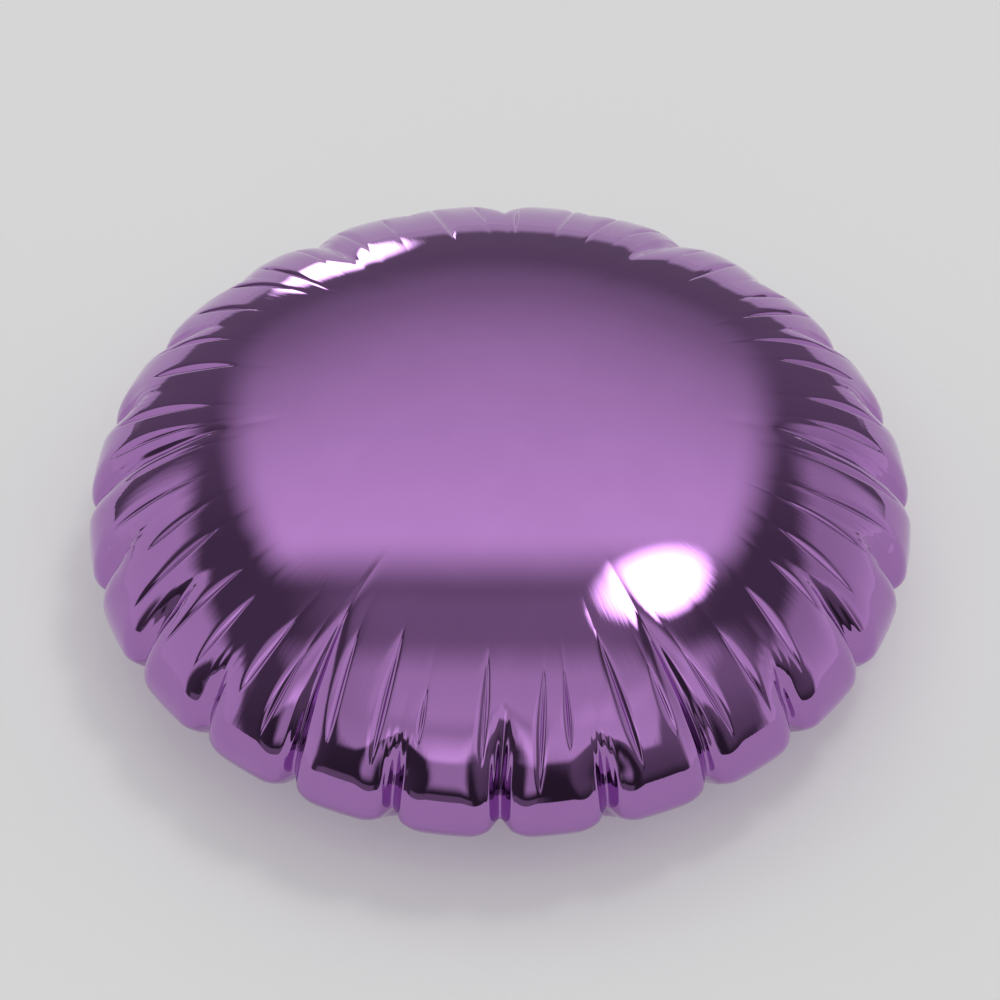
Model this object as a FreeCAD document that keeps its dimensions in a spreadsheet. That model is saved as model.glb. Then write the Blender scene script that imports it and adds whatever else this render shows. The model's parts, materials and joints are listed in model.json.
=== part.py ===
"""Inflated wobble cushion: two domed film panels joined by a turned-in weld lip, with a plugged air valve.

Millimetres, +Z up. The origin is the centre of the flat patch that the cushion rests on.
Each sub-part is one object of the document, and its label names its file in parts/.
"""

import FreeCAD, Part
import math
import os

import Sketcher

from FreeCAD import Placement, Rotation, Vector

DIMENSIONS = [
    # The air-filled body
    ("cushion_radius", 175.0, "outer radius at the seam, across the puffed lobes"),
    ("crown_depth", 66.0, "seam to the top of the crown"),
    ("belly_depth", 43.0, "seam to the lowest point of the full, unflattened belly"),
    ("seam_height", 40.0, "seam above the floor, with the belly flattened where it rests"),
    ("seam_gap", 0.3, "between the two panels, so that they tilt freely"),
    ("film", 0.6, "thickness of the panels"),
    # The weld lip, turned to the inside
    ("lip_outer", 172.5, "outer radius of the weld lip"),
    ("lip_inner", 163.5, "free inner edge of the weld lip"),
    ("lip_thickness", 1.2, "two plies of film welded together"),
    ("gather_count", 24, "relief notches, one at each gather of the rim"),
    ("notch_bottom", 168.5, "radius that a relief notch reaches, from the free edge"),
    ("notch_half", 3.0, "half the width of a relief notch, at its mouth"),
    # The valve, whose own frame has +Z out of the cushion and its origin on the film
    ("valve_radius", 150.0, "valve centre from the cushion's axis"),
    ("valve_bearing", 127.5, "direction of the valve, in degrees about +Z from +X"),
    ("facet_depth", 2.4, "how far the film is pulled flat under the valve"),
    ("patch_radius", 16.0, "doubler disc welded inside the film"),
    ("patch_thickness", 0.6, "doubler disc"),
    ("flange_radius", 12.0, "valve flange, welded on the film"),
    ("flange_thickness", 1.0, "valve flange"),
    ("stem_radius", 6.0, "outside of the valve stem"),
    ("stem_length", 11.0, "stem, from the film inwards"),
    ("stem_clearance", 0.1, "between the stem and the holes in film and doubler"),
    ("bore_radius", 4.0, "stem bore, which takes the plug or a pump nozzle"),
    ("port_radius", 3.0, "air port in the stem's inner end"),
    ("ledge", 1.6, "thickness of the ledge round the air port"),
    ("bevel", 0.4, "flange edge, bore mouth and shank tip"),
    ("boss_reach", 7.9, "hinge boss, from the stem's axis"),
    ("boss_half", 2.0, "half the width of the hinge boss and of the flap's root"),
    ("boss_length", 3.0, "hinge boss, along the stem"),
    ("flap_radius", 4.6, "check flap that covers the air port"),
    ("flap_thickness", 0.8, "check flap"),
    ("flap_clearance", 0.15, "flap to the stem's end, when shut"),
    ("flap_reach", 7.2, "end of the flap's root, from the stem's axis"),
    ("flap_round", 0.39, "rounding of the end of the flap's root, just under half its thickness"),
    ("head_radius", 6.5, "plug head"),
    ("head_thickness", 1.6, "plug head"),
    ("head_clearance", 0.05, "plug head above the flange"),
    ("shank_radius", 3.95, "plug shank, a close fit in the bore"),
    ("shank_length", 6.0, "plug shank, from the film inwards"),
    ("shank_hollow", 2.5, "radius of the blind hollow in the shank"),
    ("tab_reach", 9.5, "pull tab on the plug head, from its axis"),
    ("tab_half", 2.0, "half the width of the pull tab"),
    ("strap_inner", 8.3, "inner radius of the curled tether strap"),
    ("strap_outer", 10.9, "outer radius of the curled tether strap"),
    ("strap_thickness", 1.0, "tether strap"),
    ("strap_gap", 0.3, "end of the strap to the plug head"),
    # Drawing aid
    ("overrun", 1.0, "how far a cutting or joining shape runs past the face it starts from"),
]

FULL_TURN = 360.0
SKETCH_ORIGIN = (-1, 1)
VERTICAL_AXIS = -2
HORIZONTAL_AXIS = -1
HAIR = 0.01

doc = FreeCAD.newDocument("wobble_cushion")


def make_sheet():
    """Write the driving dimensions into a spreadsheet, one row each, and return their values by name."""
    sheet = doc.addObject("Spreadsheet::Sheet", "dimensions")
    for row, (alias, value, note) in enumerate(DIMENSIONS, start=1):
        sheet.set(f"A{row}", alias)
        sheet.set(f"B{row}", str(value))
        sheet.set(f"C{row}", note)
        sheet.setAlias(f"B{row}", alias)
    doc.recompute()
    return {alias: value for alias, value, _ in DIMENSIONS}


size = make_sheet()


# Formulas: sums of dimensions and numbers, such as "seam_height - film"


def bind(target, field, formula):
    """Bind a property, or a sketch's named constraint, to a formula of dimensions."""
    words = [f"dimensions.{word}" if word in size else word for word in formula.split()]
    target.setExpression(field, " ".join(words))


def worth(formula):
    """Return the present value of a formula."""
    total = 0.0
    sign = 1.0
    for word in formula.split():
        if word in ("+", "-"):
            sign = 1.0 if word == "+" else -1.0
        else:
            total += sign * float(size.get(word, word))
            sign = 1.0
    return total


# PartDesign helpers


def make_body(name):
    body = doc.addObject("PartDesign::Body", name)
    body.Label = name
    return body


def make_sketch(body, name, plane, offset=None):
    """Add a sketch on one of the body's own origin planes, raised along its normal by a formula."""
    sketch = body.newObject("Sketcher::SketchObject", name)
    features = body.Origin.OriginFeatures
    sketch.AttachmentSupport = [(next(f for f in features if f.Role == plane), "")]
    sketch.MapMode = "FlatFace"
    if offset:
        bind(sketch, "AttachmentOffset.Base.z", offset)
    doc.recompute()
    return sketch


def name_constraint(sketch, constraint, name, formula):
    """Add a constraint whose value follows a formula."""
    index = sketch.addConstraint(constraint)
    sketch.renameConstraint(index, name)
    bind(sketch, f"Constraints.{name}", formula)


def add_circle(sketch, name, radius):
    """Draw a circle about the sketch's origin."""
    circle = sketch.addGeometry(Part.Circle(Vector(), Vector(0, 0, 1), worth(radius)), False)
    sketch.addConstraint(Sketcher.Constraint("Coincident", circle, 3, *SKETCH_ORIGIN))
    name_constraint(sketch, Sketcher.Constraint("Radius", circle, worth(radius)), name, radius)


def pin_point(sketch, line, name, across, up):
    """Hold the start of a line at a point given by two formulas."""
    if worth(across) == 0.0:
        sketch.addConstraint(Sketcher.Constraint("PointOnObject", line, 1, VERTICAL_AXIS))
    else:
        reach = Sketcher.Constraint("DistanceX", *SKETCH_ORIGIN, line, 1, worth(across))
        name_constraint(sketch, reach, f"{name}_across", across)
    if worth(up) == 0.0:
        sketch.addConstraint(Sketcher.Constraint("PointOnObject", line, 1, HORIZONTAL_AXIS))
    else:
        height = Sketcher.Constraint("DistanceY", *SKETCH_ORIGIN, line, 1, worth(up))
        name_constraint(sketch, height, f"{name}_up", up)


def add_outline(sketch, points):
    """Draw a closed outline of straight lines through points, each a pair of formulas."""
    places = [Vector(worth(across), worth(up), 0) for across, up in points]
    lines = []
    for start, end in zip(places, places[1:] + places[:1]):
        lines.append(sketch.addGeometry(Part.LineSegment(start, end), False))
    for line, following in zip(lines, lines[1:] + lines[:1]):
        sketch.addConstraint(Sketcher.Constraint("Coincident", line, 2, following, 1))
    for number, (line, (across, up)) in enumerate(zip(lines, points)):
        pin_point(sketch, line, f"point_{number}", across, up)


def pad(body, sketch, name, length):
    feature = body.newObject("PartDesign::Pad", name)
    feature.Profile = sketch
    bind(feature, "Length", length)
    return feature


def revolve(body, sketch, name):
    """Turn a sketch on the XZ plane right round the body's Z axis."""
    feature = body.newObject("PartDesign::Revolution", name)
    feature.Profile = sketch
    feature.ReferenceAxis = (sketch, ["V_Axis"])
    feature.Angle = FULL_TURN
    return feature


# Part helpers


def cut(name, base, tool):
    result = doc.addObject("Part::Cut", name)
    result.Base = base
    result.Tool = tool
    return result


def half_space(name, inset, plane):
    """A block that holds everything beyond a plane's +Z side, less an inset."""
    block = doc.addObject("Part::Box", name)
    reach = 2 * size["cushion_radius"]
    block.Length = reach
    block.Width = reach
    block.Height = reach
    block.Placement = plane * Placement(Vector(-reach / 2, -reach / 2, -worth(inset)), Rotation())
    return block


def half_ellipsoid(name, depth, inset, upper):
    """The upper or lower half of the air body, with its surface set in by an inset."""
    dome = doc.addObject("Part::Ellipsoid", name)
    bind(dome, "Radius1", f"{depth} - {inset}")
    bind(dome, "Radius2", f"cushion_radius - {inset}")
    bind(dome, "Radius3", f"cushion_radius - {inset}")
    dome.Angle1 = 0.0 if upper else -90.0
    dome.Angle2 = 90.0 if upper else 0.0
    return dome


# Where things are


def find_valve():
    """Frame of the valve: origin on the film's flat facet, +Z out of the cushion, +X down the belly."""
    radius = size["valve_radius"]
    drop = size["belly_depth"] * math.sqrt(1 - (radius / size["cushion_radius"]) ** 2)
    outward = math.atan2(drop / size["belly_depth"] ** 2, radius / size["cushion_radius"] ** 2)
    turned = Rotation(Vector(0, 0, 1), size["valve_bearing"])
    tipped = Rotation(Vector(0, 1, 0), 90 + math.degrees(outward))
    surface = Placement(Vector(radius, 0, size["seam_height"] - drop), tipped)
    facet = Placement(Vector(0, 0, -size["facet_depth"]), Rotation())
    return Placement(Vector(), turned) * surface * facet


VALVE = find_valve()
FLOOR = Placement(Vector(), Rotation(Vector(1, 0, 0), 180))


# Sub-parts


def make_top_panel():
    """Domed film shell from the seam up."""
    outer = half_ellipsoid("crown_outside", "crown_depth", "0", upper=True)
    inner = half_ellipsoid("crown_inside", "crown_depth", "film", upper=True)
    for dome in (outer, inner):
        bind(dome, "Placement.Base.z", "seam_height + seam_gap")
    return cut("top_panel", outer, inner)


def belly_form(side, inset):
    """Solid belly, flat where it rests and where the valve sits, set in by an inset."""
    dome = half_ellipsoid(f"belly_{side}", "belly_depth", inset, upper=False)
    bind(dome, "Placement.Base.z", "seam_height")
    rested = cut(f"rested_{side}", dome, half_space(f"below_floor_{side}", inset, FLOOR))
    return cut(f"faceted_{side}", rested, half_space(f"past_facet_{side}", inset, VALVE))


def make_bottom_panel():
    """Film shell from the seam down, with a hole for the valve stem."""
    shell = cut("belly_shell", belly_form("outside", "0"), belly_form("inside", "film"))
    hole = doc.addObject("Part::Cylinder", "stem_hole")
    bind(hole, "Radius", "stem_radius + stem_clearance")
    bind(hole, "Height", "overrun + film + overrun")
    hole.Placement = VALVE * Placement(Vector(0, 0, -worth("overrun + film")), Rotation())
    return cut("bottom_panel", shell, hole)


def make_rim_weld():
    """Flat ring of welded film inside the seam, with a relief notch at each gather."""
    body = make_body("rim_weld")
    ring = make_sketch(body, "lip_ring", "XY_Plane")
    add_circle(ring, "outer", "lip_outer")
    add_circle(ring, "inner", "lip_inner")
    pad(body, ring, "lip", "lip_thickness")
    relief = make_sketch(body, "relief_shape", "XY_Plane")
    mouth = "lip_inner - overrun"
    add_outline(relief, [(mouth, "notch_half"), ("notch_bottom", "0"), (mouth, "0 - notch_half")])
    notch = body.newObject("PartDesign::Pocket", "relief_notch")
    notch.Profile = relief
    notch.Type = "ThroughAll"
    notch.Reversed = True
    gathers = body.newObject("PartDesign::PolarPattern", "relief_notches")
    gathers.Originals = [notch]
    gathers.Axis = (ring, ["N_Axis"])
    gathers.Angle = FULL_TURN
    bind(gathers, "Occurrences", "gather_count")
    body.Tip = gathers
    body.Placement = Placement(Vector(0, 0, worth("seam_height") - size["lip_thickness"] / 2), Rotation())
    return body


def make_valve_patch():
    """Doubler disc welded to the inside of the film round the stem."""
    body = make_body("valve_patch")
    disc = make_sketch(body, "patch_disc", "XY_Plane", "0 - film - patch_thickness")
    add_circle(disc, "outer", "patch_radius")
    add_circle(disc, "hole", "stem_radius + stem_clearance")
    pad(body, disc, "patch", "patch_thickness")
    body.Placement = VALVE
    return body


def make_valve_body():
    """Flanged stem that stands inside the cushion, with an air port and a boss for the flap's root."""
    body = make_body("valve_body")
    section = make_sketch(body, "stem_section", "XZ_Plane")
    points = [
        ("port_radius", "0 - stem_length"),
        ("stem_radius", "0 - stem_length"),
        ("stem_radius", "0"),
        ("flange_radius", "0"),
        ("flange_radius", "flange_thickness - bevel"),
        ("flange_radius - bevel", "flange_thickness"),
        ("bore_radius + bevel", "flange_thickness"),
        ("bore_radius", "flange_thickness - bevel"),
        ("bore_radius", "ledge - stem_length"),
        ("port_radius", "ledge - stem_length"),
    ]
    add_outline(section, points)
    revolve(body, section, "stem")
    root = make_sketch(body, "boss_shape", "XY_Plane", "0 - stem_length")
    start = "stem_radius - overrun"
    corners = [
        (start, "0 - boss_half"),
        ("boss_reach", "0 - boss_half"),
        ("boss_reach", "boss_half"),
        (start, "boss_half"),
    ]
    add_outline(root, corners)
    pad(body, root, "hinge_boss", "boss_length")
    body.Placement = VALVE
    return body


def make_check_flap():
    """Soft flap over the air port, with a rounded root that it hinges on."""
    body = make_body("check_flap")
    underside = "0 - stem_length - flap_clearance - flap_thickness"
    disc = make_sketch(body, "flap_disc", "XY_Plane", underside)
    add_circle(disc, "edge", "flap_radius")
    pad(body, disc, "flap", "flap_thickness")
    root = make_sketch(body, "root_shape", "XY_Plane", underside)
    corners = [
        ("port_radius", "0 - boss_half"),
        ("flap_reach", "0 - boss_half"),
        ("flap_reach", "boss_half"),
        ("port_radius", "boss_half"),
    ]
    add_outline(root, corners)
    neck = pad(body, root, "root", "flap_thickness")
    doc.recompute()
    rounded = body.newObject("PartDesign::Fillet", "root_round")
    rounded.Base = (neck, end_edges(neck.Shape, size["flap_reach"]))
    bind(rounded, "Radius", "flap_round")
    body.Placement = VALVE
    return body


def end_edges(shape, reach):
    """Names of the straight edges along Y that lie at a distance along X."""
    names = []
    for number, edge in enumerate(shape.Edges, start=1):
        box = edge.BoundBox
        along_y = box.XLength < HAIR and box.ZLength < HAIR < box.YLength
        if along_y and abs(box.XMin - reach) < HAIR:
            names.append(f"Edge{number}")
    return names


def make_valve_plug():
    """Push-in plug: a head with a pull tab, on a hollow shank."""
    body = make_body("valve_plug")
    section = make_sketch(body, "plug_section", "XZ_Plane")
    seat = "flange_thickness + head_clearance"
    top = f"{seat} + head_thickness"
    points = [
        ("0", "0"),
        ("shank_hollow", "0"),
        ("shank_hollow", "0 - shank_length"),
        ("shank_radius - bevel", "0 - shank_length"),
        ("shank_radius", "bevel - shank_length"),
        ("shank_radius", seat),
        ("head_radius", seat),
        ("head_radius", f"{top} - bevel"),
        ("head_radius - bevel", top),
        ("0", top),
    ]
    add_outline(section, points)
    revolve(body, section, "plug")
    tab = make_sketch(body, "tab_shape", "XY_Plane", seat)
    corners = [
        ("0 - tab_half", "0 - tab_reach"),
        ("tab_half", "0 - tab_reach"),
        ("tab_half", "0 - shank_radius"),
        ("0 - tab_half", "0 - shank_radius"),
    ]
    add_outline(tab, corners)
    pad(body, tab, "pull_tab", "head_thickness - bevel")
    body.Placement = VALVE
    return body


def make_plug_strap():
    """Tether strap curled half way round the plug head, from the flange to the head's edge."""
    inner = size["strap_inner"]
    outer = size["strap_outer"]
    neck_end = size["head_radius"] + size["strap_gap"]
    half_neck = (outer - inner) / 2
    inner_end = -math.sqrt(inner**2 - half_neck**2)

    def on_flange(across, along):
        return Vector(across, along, size["flange_thickness"])

    edges = [
        Part.Arc(on_flange(inner, 0), on_flange(0, inner), on_flange(inner_end, half_neck)).toShape(),
        Part.makeLine(on_flange(inner_end, half_neck), on_flange(-neck_end, half_neck)),
        Part.makeLine(on_flange(-neck_end, half_neck), on_flange(-neck_end, 0)),
        Part.makeLine(on_flange(-neck_end, 0), on_flange(-outer, 0)),
        Part.Arc(on_flange(-outer, 0), on_flange(0, outer), on_flange(outer, 0)).toShape(),
        Part.makeLine(on_flange(outer, 0), on_flange(inner, 0)),
    ]
    strap = doc.addObject("Part::Feature", "plug_strap")
    strap.Shape = Part.Face(Part.Wire(edges)).extrude(Vector(0, 0, size["strap_thickness"]))
    strap.Placement = VALVE
    return strap


SUB_PARTS = [
    make_top_panel(),
    make_bottom_panel(),
    make_rim_weld(),
    make_valve_patch(),
    make_valve_body(),
    make_check_flap(),
    make_valve_plug(),
    make_plug_strap(),
]


def check_document():
    """Stop if any object of the document failed, or any sub-part isn't one valid solid."""
    doc.recompute()
    for item in doc.Objects:
        if {"Invalid", "Error"} & set(item.State):
            raise RuntimeError(f"{item.Name} failed: {item.State}")
    for item in SUB_PARTS:
        shape = item.Shape
        if shape.isNull() or not shape.isValid() or len(shape.Solids) != 1:
            raise RuntimeError(f"{item.Label} is not one valid solid")


def export():
    os.makedirs("parts", exist_ok=True)
    for item in SUB_PARTS:
        item.Shape.exportStep(f"parts/{item.Label}.step")
        print(f"{item.Label}: {item.Shape.Volume / 1000:.3f} cm3")


check_document()
export()
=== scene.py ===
"""Looks of the inflated wobble cushion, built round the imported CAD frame. Metres, +Z up."""

import json
import math

import bmesh
import bpy
import numpy as np
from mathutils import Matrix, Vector


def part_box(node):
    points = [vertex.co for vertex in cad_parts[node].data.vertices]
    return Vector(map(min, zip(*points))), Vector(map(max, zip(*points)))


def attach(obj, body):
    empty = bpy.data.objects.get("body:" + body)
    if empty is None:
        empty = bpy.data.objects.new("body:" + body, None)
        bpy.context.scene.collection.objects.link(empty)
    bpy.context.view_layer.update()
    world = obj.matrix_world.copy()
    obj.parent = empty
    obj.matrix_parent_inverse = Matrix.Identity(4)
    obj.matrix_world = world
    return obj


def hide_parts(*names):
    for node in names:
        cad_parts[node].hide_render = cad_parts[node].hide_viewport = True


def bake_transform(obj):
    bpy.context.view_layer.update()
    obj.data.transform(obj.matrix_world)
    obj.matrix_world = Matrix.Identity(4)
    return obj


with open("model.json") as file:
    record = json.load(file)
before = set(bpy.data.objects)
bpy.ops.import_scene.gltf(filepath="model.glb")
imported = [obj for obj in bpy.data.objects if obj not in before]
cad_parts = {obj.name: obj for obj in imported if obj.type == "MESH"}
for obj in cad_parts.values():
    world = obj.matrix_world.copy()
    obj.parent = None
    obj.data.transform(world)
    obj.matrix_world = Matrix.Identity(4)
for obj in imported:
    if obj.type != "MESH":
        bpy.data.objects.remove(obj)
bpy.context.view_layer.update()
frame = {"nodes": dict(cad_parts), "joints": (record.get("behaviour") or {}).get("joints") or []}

# ---------------------------------------------------------------- sizes, from the frame

MM = 0.001
LIP_LOW, LIP_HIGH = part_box("rim_weld")
CROWN_LOW, CROWN_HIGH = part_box("top_panel")
RADIUS = CROWN_HIGH[0]
SEAM = (LIP_LOW[2] + LIP_HIGH[2]) / 2
TOP = CROWN_HIGH[2]
CROWN_DEPTH = TOP - SEAM
BELLY_DEPTH = SEAM + 3 * MM
GATHERS = 24
LOBE = 360 / GATHERS

CROWN_FULLNESS = 2.3
BELLY_FULLNESS = 2.0
FILM = 0.6 * MM


def reach(node, axis):
    """Lowest and highest reach of a CAD node along an axis."""
    points = np.array([vertex.co for vertex in frame["nodes"][node].data.vertices])
    along = points @ np.array(axis)
    return along.min(), along.max()


# The valve's frame: its axis is the way the plug slides out, and its origin is on the film
PULL = next(joint for joint in frame["joints"] if joint["name"] == "plug_pull")
VALVE_OUT = Vector(PULL["axis"]).normalized()
VALVE_ACROSS = Vector((0, 0, 1)).cross(VALVE_OUT).normalized()
VALVE_DOWN = VALVE_ACROSS.cross(VALVE_OUT)
VALVE = VALVE_OUT * (reach("valve_patch", VALVE_OUT)[1] + FILM)
for axis in (VALVE_ACROSS, VALVE_DOWN):
    VALVE += axis * sum(reach("valve_patch", axis)) / 2
VALVE_BEARING = math.degrees(math.atan2(VALVE.x, -VALVE.y))
STEM_RADIUS = 6 * MM
PATCH_RADIUS = np.ptp(reach("valve_patch", VALVE_ACROSS)) / 2

# How far in the gathers run, as parts of the radius: long and short ones by turns, all the way round
GATHER_REACH = [0.80, 0.88, 0.65, 0.88]

# Depth of a gather below the lobes, in mm, at parts of the radius from the crown out to the seam
GATHER_PARTS = [0.50, 0.78, 0.87, 0.92, 0.96, 0.988, 0.995, 1.00]
CROWN_GATHER_DEPTHS = [2.0, 3.0, 4.2, 5.6, 6.6, 7.0, 7.1, 7.2]
BELLY_GATHER_DEPTHS = [2.2, 3.2, 4.6, 6.2, 7.6, 8.0, 7.7, 7.2]

# Width of a gather's rounded shoulders, in mm to each side, at parts of the radius
SHOULDER_PARTS = [0.85, 0.92, 0.96, 0.99, 1.00]
SHOULDER_WIDTHS = [20, 20, 17, 13, 11]

# Rounding of the gathers' bottoms, in mm
VALLEY_ROUND = 0.7

# Lens-shaped creases of the shoulder: where they lie on a lobe, in parts of its width from its middle,
# how far each may be out of place, and where their ends may lie, in parts of the radius
CREASE_SEED = 4
CREASE_PLACES = [-0.22, 0.24]
CREASE_SCATTER = 0.09
CREASE_INNER = (0.67, 0.80)
CREASE_OUTER = (0.88, 0.97)

# A crease is steeper on its + side up to this bearing, and on its other side past it
STEEP_SIDE_CHANGES = 30

# The underside's creases start this much further out, and stay this many degrees clear of the valve
BELLY_CREASE_SHORTER = 0.06
CLEAR_OF_VALVE = 7


# ---------------------------------------------------------------- shape of the film


def smooth(x, low, high):
    """Smoothstep from 0 at low to 1 at high; low may be above high."""
    s = np.clip((x - low) / (high - low), 0, 1)
    return s * s * (3 - 2 * s)


def turned(bearing, at):
    """Signed angle from one bearing to another, in degrees."""
    return (bearing - at + 180) % 360 - 180


def scatter_creases():
    """Creases on every lobe: bearing in degrees, then inner and outer ends as parts of the radius."""
    random = np.random.default_rng(CREASE_SEED)
    creases = []
    for lobe in range(GATHERS):
        for place_on_lobe in CREASE_PLACES:
            scatter = random.uniform(-CREASE_SCATTER, CREASE_SCATTER)
            at = turned((lobe + 0.5 + place_on_lobe + scatter) * LOBE, 0)
            creases.append((at, random.uniform(*CREASE_INNER), random.uniform(*CREASE_OUTER)))
    return creases


CREASES = scatter_creases()
BELLY_CREASES = [
    (at, inner + BELLY_CREASE_SHORTER, outer)
    for at, inner, outer in CREASES[::2]
    if abs(at - VALVE_BEARING) > CLEAR_OF_VALVE
]


def base_profile(turn, depth, fullness):
    """Radius, height from the seam and outward slope of a dome, at a turn from seam (0) to pole (pi/2)."""
    radius = RADIUS * np.cos(turn) ** (2 / fullness)
    height = depth * np.sin(turn)
    lift = np.arctan2(height / depth**2, (fullness / 2) * (radius / RADIUS) ** (fullness - 1) / RADIUS)
    return radius, height, lift


def gather_fall(bearing, part, depths):
    """Depth of the film below the lobes' crowns: a rounded valley at each gather, with a pleated crease in it."""
    nearest = np.round(bearing / LOBE)
    start = np.array(GATHER_REACH)[nearest.astype(int) % len(GATHER_REACH)]
    along = smooth(part, start, start + 0.09 + 0.35 * (0.88 - start))
    across = np.hypot(np.radians(bearing - nearest * LOBE) * part * RADIUS / MM, VALLEY_ROUND) - VALLEY_ROUND
    vary = 1 + 0.08 * np.sin(2.7 * nearest)
    taper = 0.22 + 0.78 * smooth(part, start - 0.02, 0.97)
    width = taper * np.interp(part, SHOULDER_PARTS, SHOULDER_WIDTHS)
    shoulder = np.clip(1 - across / width, 0, 1) ** 2.2
    notch = smooth(across, 4.5 * taper, 0)
    depth = np.interp(part, GATHER_PARTS, depths) * along * vary
    tail = 0.14 * smooth(part, start - 0.16, start) * (1 - along) * np.clip(1 - across / 6, 0, 1) ** 2
    mouth = smooth(part, 0.86, 0.94) * smooth(part, 1.0, 0.97)
    pleats = 0.16 * mouth * smooth(across, 5.6, 4.2) * np.cos(2 * np.pi * across / 2.8)
    return MM * (depth * (0.74 * shoulder + 0.26 * notch) + tail + pleats)


def crease_fall(bearing, part, creases):
    """Depth of the lens-shaped creases: soft upper edges, a sharp bottom off centre, a faint tail inwards."""
    fall = np.zeros_like(bearing)
    for at, inner, outer in creases:
        length = outer - inner
        across = np.radians(turned(bearing, at)) * part * RADIUS / MM
        steep_side = 1 if at < STEEP_SIDE_CHANGES else -1
        half_width = (2.6 + 12 * min(length, 0.28)) * np.where(across * steep_side > 0, 0.72, 1.3)
        across = np.abs(across)
        depth = 0.9 + 6.0 * min(length, 0.28)
        along = np.clip((part - inner) / length, 0, 1)
        lens = along**0.9 * (1 - along) ** 0.6 / 0.535
        x = across / (half_width * np.maximum(lens, 1e-3) ** 0.85)
        fall += depth * lens * np.clip(1 - x, 0, 1) ** 2.6
        faint = smooth(part, inner - 0.12, inner) * smooth(part, inner + 0.08, inner)
        fall += 0.10 * faint * np.clip(1 - across / 3.5, 0, 1) ** 2
    return MM * fall


def sway(bearing, part):
    """How far the creases and gathers lean to one side, in degrees of bearing; nothing at the seam."""
    turn = np.radians(bearing)
    lean = 0.9 * np.sin(7 * turn + 1) + 0.5 * np.sin(17 * turn)
    return lean * (0.96 - part) * 8 * smooth(part, 0.3, 0.7) * (part < 0.96)


def place(bearing, part, radius, height):
    angle = np.radians(bearing + sway(bearing, part))
    return np.stack([radius * np.sin(angle), -radius * np.cos(angle), height], axis=-1)


def crown_point(bearing, turn):
    """Place of the upper film."""
    radius, height, lift = base_profile(turn, CROWN_DEPTH, CROWN_FULLNESS)
    part = radius / RADIUS
    fall = gather_fall(bearing, part, CROWN_GATHER_DEPTHS) + crease_fall(bearing, part, CREASES)
    return place(bearing, part, radius - fall * np.cos(lift), SEAM + height - fall * np.sin(lift))


def soften(distance, soft):
    """A distance that turns smoothly from itself, where it is positive, to 0."""
    return soft * np.logaddexp(0, distance / soft)


def belly_point(bearing, turn):
    """Place of the lower film, flattened on the floor and under the valve's flange."""
    radius, height, lift = base_profile(turn, BELLY_DEPTH, BELLY_FULLNESS)
    part = radius / RADIUS
    fall = gather_fall(bearing, part, BELLY_GATHER_DEPTHS) + crease_fall(bearing, part, BELLY_CREASES)
    from_valve = np.linalg.norm(place(bearing, part, radius, SEAM - height) - np.array(VALVE), axis=-1)
    fall *= smooth(from_valve, PATCH_RADIUS, PATCH_RADIUS + 8 * MM)
    points = place(bearing, part, radius - fall * np.cos(lift), SEAM - height + fall * np.sin(lift))
    points[..., 2] = soften(points[..., 2], 1.2 * MM)
    inside = -(points - np.array(VALVE)) @ np.array(VALVE_OUT)
    push = soften(inside, 0.25 * MM) - inside
    return points - push[..., None] * np.array(VALVE_OUT)


# ---------------------------------------------------------------- mesh of the film

COLUMNS_PER_LOBE = 80
COLUMNS = GATHERS * COLUMNS_PER_LOBE

# Rings of quads from the seam to the pole: turn in degrees where a band ends, rows, thinning of columns
CROWN_BANDS = [(55, 41, 1), (68, 10, 2), (79, 7, 4), (90, 7, 16)]
BELLY_BANDS = [(42, 30, 1), (62, 14, 2), (80, 9, 4), (90, 6, 16)]


def column_bearings():
    """Bearings of the mesh's columns, closer together at the gathers and creases."""
    fine = np.linspace(-180, 180, 14401)
    density = np.ones_like(fine)
    for number in range(GATHERS):
        density += 2.6 * np.exp(-((turned(fine, number * LOBE) / 1.3) ** 2))
    for at, _, _ in CREASES:
        density += 1.8 * np.exp(-((turned(fine, at) / 1.0) ** 2))
    steps = (density[1:] + density[:-1]) / 2
    total = np.concatenate([[0], np.cumsum(steps)])
    return np.interp(np.arange(COLUMNS) / COLUMNS, total / total[-1], fine)


BEARINGS = column_bearings()


def ring_list(bands):
    """Turn and thinning of columns of every ring from the seam inwards, without the pole."""
    rings = []
    start = 0.0
    for end, rows, thinning in bands:
        turns = np.radians(np.linspace(start, end, rows + 1)[:-1])
        rings += [(turn, thinning) for turn in turns]
        start = end
    return rings


def join_rings(outer, outer_count, inner, inner_count):
    """Faces between two rings; the inner one has as many columns, or a whole part of them."""
    step = outer_count // inner_count
    faces = []
    for i in range(inner_count):
        near = inner + i
        far = inner + (i + 1) % inner_count
        edge = [outer + (i * step + k) % outer_count for k in range(step + 1)]
        if step == 1:
            faces.append((edge[0], edge[1], far, near))
            continue
        middle = step // 2
        faces += [(edge[k], edge[k + 1], near) for k in range(middle)]
        faces += [(edge[k], edge[k + 1], far) for k in range(middle, step)]
        faces.append((edge[middle], far, near))
    return faces


def add_object(name, points, faces):
    mesh = bpy.data.meshes.new(name)
    mesh.from_pydata([tuple(point) for point in points], [], faces)
    mesh.update()
    mesh.polygons.foreach_set("use_smooth", [True] * len(mesh.polygons))
    piece = bpy.data.objects.new(name, mesh)
    bpy.context.collection.objects.link(piece)
    return piece


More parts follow.
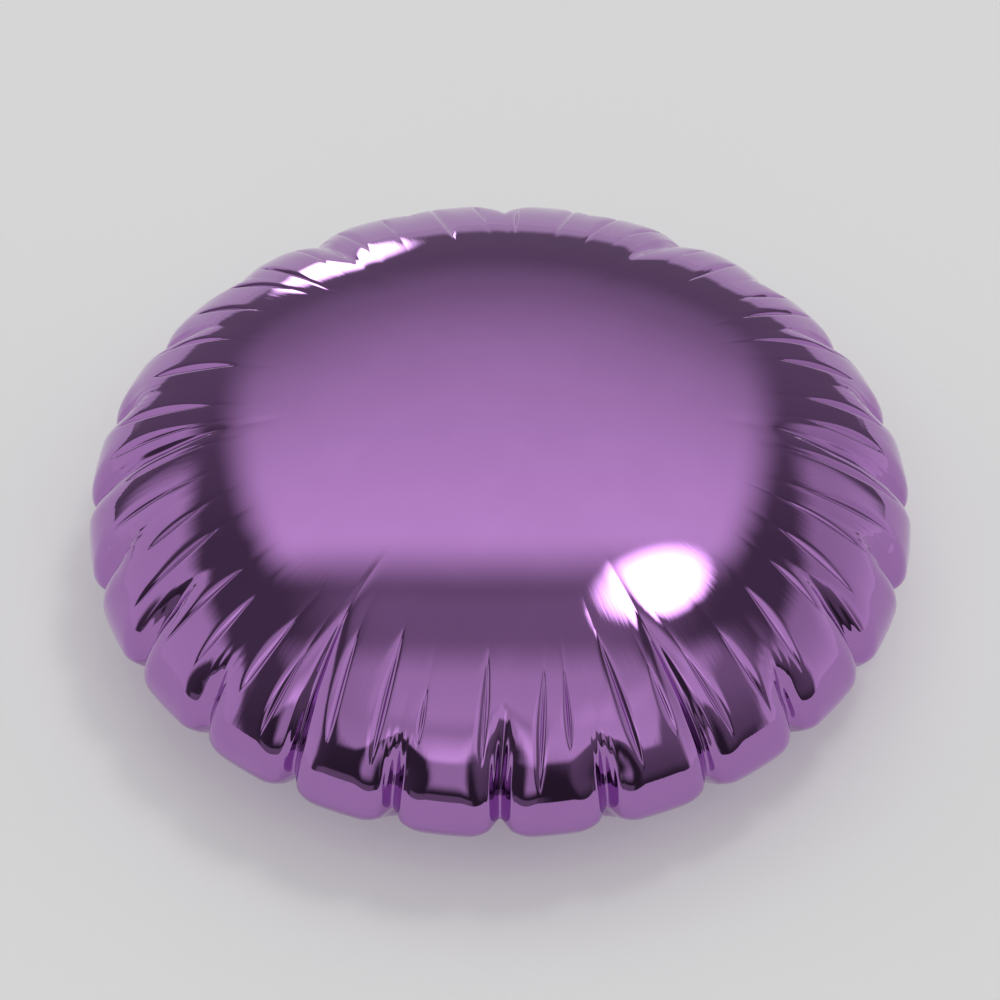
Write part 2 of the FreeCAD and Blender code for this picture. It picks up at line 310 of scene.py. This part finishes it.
def build_panel(name, point, bands):
    """One panel of film: rings from the seam to the pole, joined ring to ring."""
    rings = ring_list(bands)
    points = []
    starts = []
    faces = []
    count = 0
    for turn, thinning in rings:
        bearings = BEARINGS[::thinning]
        starts.append(count)
        count += len(bearings)
        points.append(point(bearings, np.full(len(bearings), turn)))
    for index in range(len(rings) - 1):
        outer = COLUMNS // rings[index][1]
        inner = COLUMNS // rings[index + 1][1]
        faces += join_rings(starts[index], outer, starts[index + 1], inner)
    points.append(point(np.zeros(1), np.full(1, math.pi / 2)))
    last = COLUMNS // rings[-1][1]
    faces += [(starts[-1] + i, starts[-1] + (i + 1) % last, count) for i in range(last)]
    return add_object(name, np.concatenate(points), faces)


def open_for_stem(piece):
    """Cut the hole that the valve stem passes through; the flange hides its edge."""
    mesh = bmesh.new()
    mesh.from_mesh(piece.data)
    under = [face for face in mesh.faces if (face.calc_center_median() - VALVE).length < STEM_RADIUS]
    bmesh.ops.delete(mesh, geom=under, context="FACES")
    mesh.to_mesh(piece.data)
    mesh.free()


top_film = build_panel("top_film", crown_point, CROWN_BANDS)
bottom_film = build_panel("bottom_film", belly_point, BELLY_BANDS)
bottom_film.data.flip_normals()
open_for_stem(bottom_film)


# ---------------------------------------------------------------- welded lip between the panels


def build_lip():
    """The flat ring where the panels are welded, turned inwards, its outer edge drawn in at the gathers."""
    bearings = BEARINGS[::2]
    count = len(bearings)
    ones = np.ones(count)
    cad = np.array([vertex.co for vertex in frame["nodes"]["rim_weld"].data.vertices])
    inner = np.hypot(cad[:, 0], cad[:, 1]).min() * ones
    outer = RADIUS - gather_fall(bearings, ones, CROWN_GATHER_DEPTHS) - FILM
    section = [(inner, LIP_LOW[2]), (inner, LIP_HIGH[2]), (outer, LIP_HIGH[2]), (outer, LIP_LOW[2])]
    points = [place(bearings, ones, radius, height * ones) for radius, height in section]
    faces = []
    for ring in range(4):
        following = (ring + 1) % 4
        for i in range(count):
            j = (i + 1) % count
            faces.append((ring * count + i, following * count + i, following * count + j, ring * count + j))
    lip = add_object("weld_lip", np.concatenate(points), faces)
    lip.data.polygons.foreach_set("use_smooth", [False] * len(lip.data.polygons))
    return lip


lip = build_lip()


# ---------------------------------------------------------------- tether strap of the plug


def build_strap():
    """A flat strap with rounded edges, curled half way round the plug head and joined to its rim."""
    low, high = (value - VALVE.dot(VALVE_OUT) for value in reach("plug_strap", VALVE_OUT))
    outer = reach("plug_strap", VALVE_ACROSS)[1] - VALVE.dot(VALVE_ACROSS)
    half_width = 1.3 * MM
    middle = outer - half_width
    half_height = (high - low) / 2
    stations = 72
    corners = 20
    points = []
    for station in range(stations + 1):
        turn = math.pi * station / stations
        taper = 1 - 0.25 * max(0.0, math.cos(turn * 2)) * (station > stations / 2)
        for corner in range(corners):
            angle = 2 * math.pi * corner / corners
            across = math.copysign(abs(math.cos(angle)) ** 0.45, math.cos(angle)) * half_width * taper
            up = math.copysign(abs(math.sin(angle)) ** 0.45, math.sin(angle)) * half_height
            radius = middle + across
            spot = VALVE + VALVE_DOWN * (radius * math.cos(turn)) + VALVE_ACROSS * (radius * math.sin(turn))
            points.append(spot + VALVE_OUT * (low + half_height + up))
    faces = []
    for station in range(stations):
        for corner in range(corners):
            following = (corner + 1) % corners
            a = station * corners
            b = a + corners
            faces.append((a + corner, a + following, b + following, b + corner))
    faces.append(tuple(range(corners))[::-1])
    faces.append(tuple(range(stations * corners, (stations + 1) * corners)))
    return add_object("tether_strap", points, faces)


strap = build_strap()


# ---------------------------------------------------------------- materials


class Graph:
    """Short names for making shader nodes."""

    def __init__(self, tree):
        self.nodes = tree.nodes
        self.links = tree.links

    def feed(self, socket, value):
        """Link another node's output into a socket, or set a plain number or vector on it."""
        if isinstance(value, bpy.types.NodeSocket):
            self.links.new(value, socket)
        else:
            socket.default_value = value

    def coords(self, output):
        return self.nodes.new("ShaderNodeTexCoord").outputs[output]

    def dot(self, vector, fixed):
        node = self.nodes.new("ShaderNodeVectorMath")
        node.operation = "DOT_PRODUCT"
        self.feed(node.inputs[0], vector)
        self.feed(node.inputs[1], fixed)
        return node.outputs["Value"]

    def length(self, vector):
        node = self.nodes.new("ShaderNodeVectorMath")
        node.operation = "LENGTH"
        self.feed(node.inputs[0], vector)
        return node.outputs["Value"]

    def scaled(self, vector, by):
        node = self.nodes.new("ShaderNodeVectorMath")
        node.operation = "MULTIPLY"
        self.feed(node.inputs[0], vector)
        self.feed(node.inputs[1], by)
        return node.outputs["Vector"]

    def math(self, operation, a, b=0.0):
        node = self.nodes.new("ShaderNodeMath")
        node.operation = operation
        self.feed(node.inputs[0], a)
        self.feed(node.inputs[1], b)
        return node.outputs[0]

    def ramp(self, value, low, high, start=0.0, end=1.0):
        """Smoothstep from start, where the value is low, to end, where it is high."""
        node = self.nodes.new("ShaderNodeMapRange")
        node.interpolation_type = "SMOOTHSTEP"
        self.feed(node.inputs["Value"], value)
        self.feed(node.inputs["From Min"], low)
        self.feed(node.inputs["From Max"], high)
        self.feed(node.inputs["To Min"], start)
        self.feed(node.inputs["To Max"], end)
        return node.outputs["Result"]

    def noise(self, vector, scale, detail=3.0, roughness=0.5):
        node = self.nodes.new("ShaderNodeTexNoise")
        self.feed(node.inputs["Vector"], vector)
        self.feed(node.inputs["Scale"], scale)
        self.feed(node.inputs["Detail"], detail)
        self.feed(node.inputs["Roughness"], roughness)
        return node.outputs["Fac"]

    def mix_colour(self, factor, a, b):
        node = self.nodes.new("ShaderNodeMix")
        node.data_type = "RGBA"
        self.feed(node.inputs["Factor"], factor)
        self.feed(node.inputs[6], a)
        self.feed(node.inputs[7], b)
        return node.outputs[2]

    def bump(self, height, distance, strength=1.0):
        node = self.nodes.new("ShaderNodeBump")
        self.feed(node.inputs["Height"], height)
        self.feed(node.inputs["Distance"], distance)
        self.feed(node.inputs["Strength"], strength)
        return node.outputs["Normal"]


def new_material(name):
    material = bpy.data.materials.new(name)
    material.use_nodes = True
    return material, Graph(material.node_tree), material.node_tree.nodes["Principled BSDF"]


def film_material():
    """Purple metallised film under clear lacquer: smudged gloss, and hair-fine tension lines at the shoulder."""
    material, graph, shader = new_material("metallised_film")
    shader.inputs["Metallic"].default_value = 1.0
    shader.inputs["Coat Weight"].default_value = 0.35
    shader.inputs["Coat Roughness"].default_value = 0.03
    shader.inputs["Coat IOR"].default_value = 1.5
    spot = graph.coords("Object")
    mottle = graph.noise(spot, 45, 4)
    tint = graph.mix_colour(graph.ramp(mottle, 0.35, 0.65), (0.415, 0.187, 0.513, 1), (0.425, 0.193, 0.527, 1))
    graph.feed(shader.inputs["Base Color"], tint)
    smudge = graph.noise(spot, 18, 6, 0.6)
    graph.feed(shader.inputs["Roughness"], graph.ramp(smudge, 0.35, 0.7, 0.04, 0.055))
    distance = graph.length(graph.scaled(spot, (1, 1, 0)))
    bearing = graph.math("ARCTAN2", graph.dot(spot, (1, 0, 0)), graph.dot(spot, (0, 1, 0)))
    polar = graph.nodes.new("ShaderNodeCombineXYZ")
    graph.feed(polar.inputs["X"], graph.math("MULTIPLY", bearing, 14.0))
    graph.feed(polar.inputs["Y"], graph.math("MULTIPLY", distance, 9.0))
    hairs = graph.noise(polar.outputs["Vector"], 7, 2)
    shoulder = graph.ramp(distance, 0.5 * RADIUS, 0.8 * RADIUS)
    fine = graph.noise(spot, 900, 2)
    relief = graph.math("ADD", graph.math("MULTIPLY", hairs, shoulder), graph.math("MULTIPLY", fine, 0.02))
    graph.feed(shader.inputs["Normal"], graph.bump(relief, 0.06 * MM, 0.3))
    return material


def weld_material():
    """The same film, pressed matt by the welding die with a fine square grid."""
    material, graph, shader = new_material("welded_film")
    shader.inputs["Metallic"].default_value = 1.0
    shader.inputs["Coat Weight"].default_value = 0.1
    spot = graph.coords("Object")
    graph.feed(
        shader.inputs["Base Color"],
        graph.mix_colour(graph.noise(spot, 120, 4), (0.22, 0.09, 0.29, 1), (0.34, 0.15, 0.42, 1)),
    )
    graph.feed(shader.inputs["Roughness"], graph.ramp(graph.noise(spot, 400, 3), 0.3, 0.7, 0.35, 0.55))
    grid = graph.math(
        "MULTIPLY",
        graph.math("SINE", graph.math("MULTIPLY", graph.dot(spot, (1, 1, 0)), 3500.0)),
        graph.math("SINE", graph.math("MULTIPLY", graph.dot(spot, (1, -1, 0)), 3500.0)),
    )
    graph.feed(shader.inputs["Normal"], graph.bump(grid, 0.15 * MM, 0.8))
    return material


def moulded_material(name, dark, light, roughness, subsurface):
    """Soft moulded plastic: cloudy colour, satin grain, scuffed sheen."""
    material, graph, shader = new_material(name)
    shader.inputs["Subsurface Weight"].default_value = subsurface
    shader.inputs["Subsurface Scale"].default_value = 1.5 * MM
    shader.inputs["Specular IOR Level"].default_value = 0.45
    spot = graph.coords("Object")
    graph.feed(shader.inputs["Base Color"], graph.mix_colour(graph.noise(spot, 160, 4), dark, light))
    scuffs = graph.noise(spot, 500, 5, 0.65)
    graph.feed(shader.inputs["Roughness"], graph.ramp(scuffs, 0.3, 0.7, roughness - 0.08, roughness + 0.1))
    graph.feed(shader.inputs["Normal"], graph.bump(graph.noise(spot, 2500, 3), 0.05 * MM, 0.5))
    return material


film = film_material()
top_film.data.materials.append(film)
bottom_film.data.materials.append(film)

soft_plastic = moulded_material("soft_plastic", (0.30, 0.13, 0.40, 1), (0.36, 0.17, 0.46, 1), 0.42, 0.25)
strap.data.materials.append(soft_plastic)
welded_film = weld_material()
lip.data.materials.append(welded_film)
CAD_FINISHES = {
    "valve_patch": welded_film,
    "valve_body": soft_plastic,
    "valve_plug": moulded_material("plug_plastic", (0.34, 0.16, 0.44, 1), (0.41, 0.21, 0.52, 1), 0.38, 0.25),
    "check_flap": moulded_material("silicone", (0.70, 0.68, 0.70, 1), (0.82, 0.80, 0.82, 1), 0.5, 0.5),
}
for node, finish in CAD_FINISHES.items():
    cad = frame["nodes"][node]
    cad.data.materials.clear()
    cad.data.materials.append(finish)

# ---------------------------------------------------------------- riding on the frame

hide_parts("top_panel")
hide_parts("bottom_panel")
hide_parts("rim_weld")
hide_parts("plug_strap")
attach(lip, "rim")
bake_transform(top_film)
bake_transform(bottom_film)
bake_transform(strap)


# ---------------------------------------------------------------- studio


def direction(bearing, elevation):
    """Unit vector towards a place in the studio: bearing from behind the cushion, + to the right."""
    a = math.radians(bearing)
    e = math.radians(elevation)
    return Vector((math.sin(a) * math.cos(e), math.cos(a) * math.cos(e), math.sin(e)))


class Studio:
    """The world: soft lights painted round a dark room by their direction."""

    def __init__(self):
        world = bpy.data.worlds.new("studio")
        bpy.context.scene.world = world
        world.use_nodes = True
        world.node_tree.nodes.clear()
        self.graph = Graph(world.node_tree)
        self.look = self.graph.coords("Generated")
        self.total = None

    def add(self, strength):
        """Add white light to the room."""
        self.total = strength if self.total is None else self.graph.math("ADD", self.total, strength)

    def softbox(
        self,
        bearing,
        elevation,
        half_width,
        low,
        high,
        strengths,
        soft=(0.06, 0.06, 0.06),
        slant=0.0,
    ):
        """A soft-edged light with straight sides. Its size is in tangents from its middle direction.

        strengths: at its low and high edges. soft: softness of its sides, low edge and high edge.
        slant: how far its sides shift across for a rise of 1.
        """
        graph = self.graph
        facing = direction(bearing, elevation)
        side = Vector((math.cos(math.radians(bearing)), -math.sin(math.radians(bearing)), 0))
        up = side.cross(facing)
        ahead = graph.dot(self.look, facing)
        safe = graph.math("MAXIMUM", ahead, 0.01)
        rise = graph.math("DIVIDE", graph.dot(self.look, up), safe)
        across = graph.math("DIVIDE", graph.dot(self.look, side), safe)
        across = graph.math("ABSOLUTE", graph.math("SUBTRACT", across, graph.math("MULTIPLY", rise, slant)))
        mask = graph.ramp(across, half_width + soft[0], half_width - soft[0])
        mask = graph.math("MULTIPLY", mask, graph.ramp(rise, low - soft[1], low + soft[1]))
        mask = graph.math("MULTIPLY", mask, graph.ramp(rise, high + soft[2], high - soft[2]))
        mask = graph.math("MULTIPLY", mask, graph.ramp(ahead, 0.02, 0.1))
        self.add(graph.math("MULTIPLY", mask, graph.ramp(rise, low, high, *strengths)))

    def lamp(self, bearing, elevation, half_angle, strength):
        """A small round lamp with a soft edge."""
        ahead = self.graph.dot(self.look, direction(bearing, elevation))
        edge = math.cos(math.radians(half_angle * 1.7))
        core = math.cos(math.radians(half_angle * 0.4))
        self.add(self.graph.ramp(ahead, edge, core, 0.0, strength))

    def finish(self, seen):
        """Light the scene with the room; the camera itself sees a plain pale colour."""
        nodes = self.graph.nodes
        room = nodes.new("ShaderNodeBackground")
        self.graph.feed(room.inputs["Strength"], self.total)
        plain = nodes.new("ShaderNodeBackground")
        plain.inputs["Color"].default_value = seen
        mix = nodes.new("ShaderNodeMixShader")
        self.graph.feed(mix.inputs["Fac"], nodes.new("ShaderNodeLightPath").outputs["Is Camera Ray"])
        self.graph.feed(mix.inputs[1], room.outputs["Background"])
        self.graph.feed(mix.inputs[2], plain.outputs["Background"])
        output = nodes.new("ShaderNodeOutputWorld")
        self.graph.feed(output.inputs["Surface"], mix.outputs["Shader"])


def light_studio():
    studio = Studio()
    graph = studio.graph
    behind = graph.dot(studio.look, (0, 1, 0))
    studio.add(graph.ramp(behind, -1.0, 0.0, 0.02, 0.05))
    studio.add(graph.ramp(behind, -1.0, 0.0, 0.025, 0.08))
    studio.add(graph.ramp(behind, 0.35, 0.9, 0.0, 0.11))
    # Main softbox, above and behind, brighter towards its top
    studio.softbox(0, 60, 0.53, -0.82, 0.16, (0.13, 1.22), soft=(0.10, 0.12, 0.11))
    # Glow overhead, then the light above the front
    studio.softbox(180, 86, 0.42, -0.40, 0.40, (0.26, 0.26), soft=(0.20, 0.12, 0.12))
    studio.softbox(180, 66, 0.75, -0.47, 0.42, (0.76, 0.45), soft=(0.10, 0.06, 0.14))
    # Side lights, their tops leaning back, and dimmer ones further forward
    studio.softbox(-84, 10, 0.53, -0.75, 0.58, (0.82, 0.74), (0.09, 0.06, 0.10), 0.4)
    studio.softbox(82, 10, 0.56, -0.75, 0.60, (1.15, 0.50), (0.11, 0.06, 0.10), -0.4)
    studio.softbox(-172, 30, 0.22, -0.25, 0.40, (0.7, 0.7), soft=(0.10, 0.12, 0.20))
    studio.softbox(128, 34, 0.50, -0.50, 0.60, (0.12, 0.30), soft=(0.14, 0.16, 0.12))
    studio.softbox(-158, 3, 0.60, -0.2, 0.09, (0.22, 0.22), soft=(0.10, 0.02, 0.02))
    # Strip on the horizon behind
    studio.softbox(0, 0, 0.80, -0.3, 0.07, (0.55, 0.55), soft=(0.08, 0.03, 0.03))
    # Two small lamps that make the hot highlights
    studio.lamp(50, 65.5, 5.4, 9.0)
    studio.lamp(-12, 7, 4, 7.5)
    studio.finish((0.67, 0.67, 0.67, 1))


def build_floor():
    """A wide plain pale floor."""
    half = 6.0
    corners = [(-half, -half, 0), (half, -half, 0), (half, half, 0), (-half, half, 0)]
    floor = add_object("floor", corners, [(0, 1, 2, 3)])
    material, graph, shader = new_material("pale_floor")
    shader.inputs["Base Color"].default_value = (0.84, 0.84, 0.84, 1)
    shader.inputs["Roughness"].default_value = 0.9
    shader.inputs["Specular IOR Level"].default_value = 0.1
    shader.inputs["Emission Color"].default_value = (1, 1, 1, 1)
    shader.inputs["Emission Strength"].default_value = 0.18
    floor.data.materials.append(material)


light_studio()
build_floor()


# ---------------------------------------------------------------- camera

CAMERA_ELEVATION = math.radians(47.1)
CAMERA_DISTANCE = 12 * RADIUS
RADIUS_IN_PICTURE = 0.4102
SENSOR = 36
SHIFT = 0.0132


def build_camera():
    data = bpy.data.cameras.new("camera")
    camera = bpy.data.objects.new("camera", data)
    bpy.context.collection.objects.link(camera)
    back = Vector((0, -math.cos(CAMERA_ELEVATION), math.sin(CAMERA_ELEVATION)))
    camera.location = Vector((0, 0, SEAM)) + back * CAMERA_DISTANCE
    camera.rotation_euler = back.to_track_quat("Z", "Y").to_euler()
    data.sensor_width = SENSOR
    data.lens = SENSOR * RADIUS_IN_PICTURE * CAMERA_DISTANCE / RADIUS
    data.shift_y = SHIFT
    data.clip_end = 50
    bpy.context.scene.camera = camera


build_camera()
bpy.context.scene.view_settings.view_transform = "Standard"
